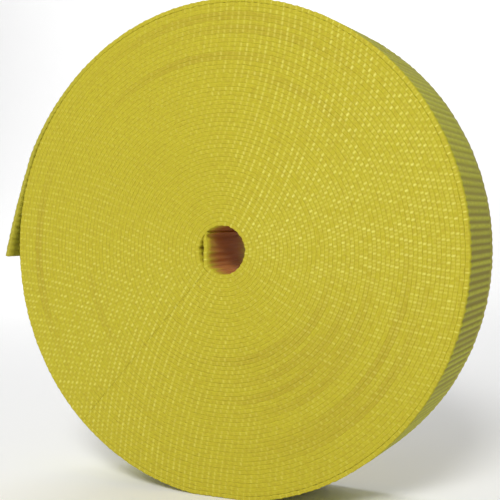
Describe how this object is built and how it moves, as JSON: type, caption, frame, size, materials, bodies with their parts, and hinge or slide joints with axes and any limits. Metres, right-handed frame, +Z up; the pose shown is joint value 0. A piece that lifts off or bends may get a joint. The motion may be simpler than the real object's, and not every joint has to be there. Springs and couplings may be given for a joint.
{
  "type": "coiled webbing lifting sling",
  "caption": "Flat woven lifting webbing wound into an upright coil with an open centre; its free outer end hangs off one side and can be peeled away and flexed.",
  "frame": {"origin": "middle of the small flat under the coil that it stands on", "axes": "+Z up, +Y along the coil's axis from its front face to its back face, +X to the right as seen from the front"},
  "size_m": [0.264, 0.05, 0.2546],
  "materials": {
    "webbing": "matt woven polyester"
  },
  "bodies": {
    "coil": {"turn_01": "webbing", "turn_02": "webbing", "turn_03": "webbing", "turn_04": "webbing", "turn_05": "webbing", "turn_06": "webbing", "turn_07": "webbing", "turn_08": "webbing", "turn_09": "webbing", "turn_10": "webbing", "turn_11": "webbing", "turn_12": "webbing", "turn_13": "webbing", "turn_14": "webbing", "turn_15": "webbing", "turn_16": "webbing", "turn_17": "webbing", "turn_18": "webbing", "turn_19": "webbing", "turn_20": "webbing", "turn_21": "webbing", "turn_22": "webbing", "turn_23": "webbing", "turn_24": "webbing", "turn_25": "webbing", "turn_26": "webbing", "turn_27": "webbing", "turn_28": "webbing", "turn_29": "webbing", "turn_30": "webbing", "turn_31": "webbing", "turn_32": "webbing", "turn_33": "webbing", "turn_34": "webbing", "turn_35": "webbing", "turn_36": "webbing", "turn_37": "webbing", "turn_38": "webbing", "turn_39": "webbing", "turn_40": "webbing", "turn_41": "webbing", "turn_42": "webbing", "turn_43": "webbing", "turn_44": "webbing", "turn_45": "webbing", "turn_46": "webbing", "turn_47": "webbing", "turn_48": "webbing", "turn_49": "webbing", "turn_50": "webbing", "turn_51": "webbing", "outer_turn": "webbing"},
    "inner_end": {"inner_end": "webbing"},
    "peel_1": {"peel_link_1": "webbing"},
    "peel_2": {"peel_link_2": "webbing"},
    "peel_3": {"peel_link_3": "webbing"},
    "peel_4": {"peel_link_4": "webbing"},
    "tail_1": {"free_end_1": "webbing"},
    "tail_2": {"free_end_2": "webbing"},
    "tail_3": {"free_end_3": "webbing"}
  },
  "joints": [
    {"name": "inner_end_flex", "type": "hinge", "parent": "coil", "child": "inner_end", "pos_m": [-0.00855, 0, 0.11725], "axis": [0, 1, 0], "range_deg": [0, 30], "stiffness_Nm_per_rad": 0.02},
    {"name": "free_end_peel", "type": "hinge", "parent": "coil", "child": "peel_1", "pos_m": [-0.03946, 0, 0.2482], "axis": [0, 1, 0], "range_deg": [0, 12], "stiffness_Nm_per_rad": 0.04},
    {"name": "peel_follow_2", "type": "hinge", "parent": "peel_1", "child": "peel_2", "pos_m": [-0.06389, 0, 0.23741], "axis": [0, 1, 0], "range_deg": [0, 12], "stiffness_Nm_per_rad": 0.04},
    {"name": "peel_follow_3", "type": "hinge", "parent": "peel_2", "child": "peel_3", "pos_m": [-0.08556, 0, 0.22177], "axis": [0, 1, 0], "range_deg": [0, 12], "stiffness_Nm_per_rad": 0.04},
    {"name": "peel_follow_4", "type": "hinge", "parent": "peel_3", "child": "peel_4", "pos_m": [-0.1035, 0, 0.20195], "axis": [0, 1, 0], "range_deg": [0, 12], "stiffness_Nm_per_rad": 0.04},
    {"name": "free_end_flex", "type": "hinge", "parent": "peel_4", "child": "tail_1", "pos_m": [-0.11695, 0, 0.17882], "axis": [0, 1, 0], "range_deg": [-1.5, 24], "stiffness_Nm_per_rad": 0.04},
    {"name": "free_end_mid_flex", "type": "hinge", "parent": "tail_1", "child": "tail_2", "pos_m": [-0.1249, 0, 0.16079], "axis": [0, 1, 0], "range_deg": [-1.2, 19.2], "stiffness_Nm_per_rad": 0.04},
    {"name": "free_end_tip_flex", "type": "hinge", "parent": "tail_2", "child": "tail_3", "pos_m": [-0.13076, 0, 0.14198], "axis": [0, 1, 0], "range_deg": [-1.8, 28.8], "stiffness_Nm_per_rad": 0.04}
  ],
  "couplings": [
    {"joint": "peel_follow_2", "follows": "free_end_peel", "ratio": 1},
    {"joint": "peel_follow_3", "follows": "free_end_peel", "ratio": 1},
    {"joint": "peel_follow_4", "follows": "free_end_peel", "ratio": 1},
    {"joint": "free_end_mid_flex", "follows": "free_end_flex", "ratio": 0.8},
    {"joint": "free_end_tip_flex", "follows": "free_end_flex", "ratio": 1.2}
  ]
}
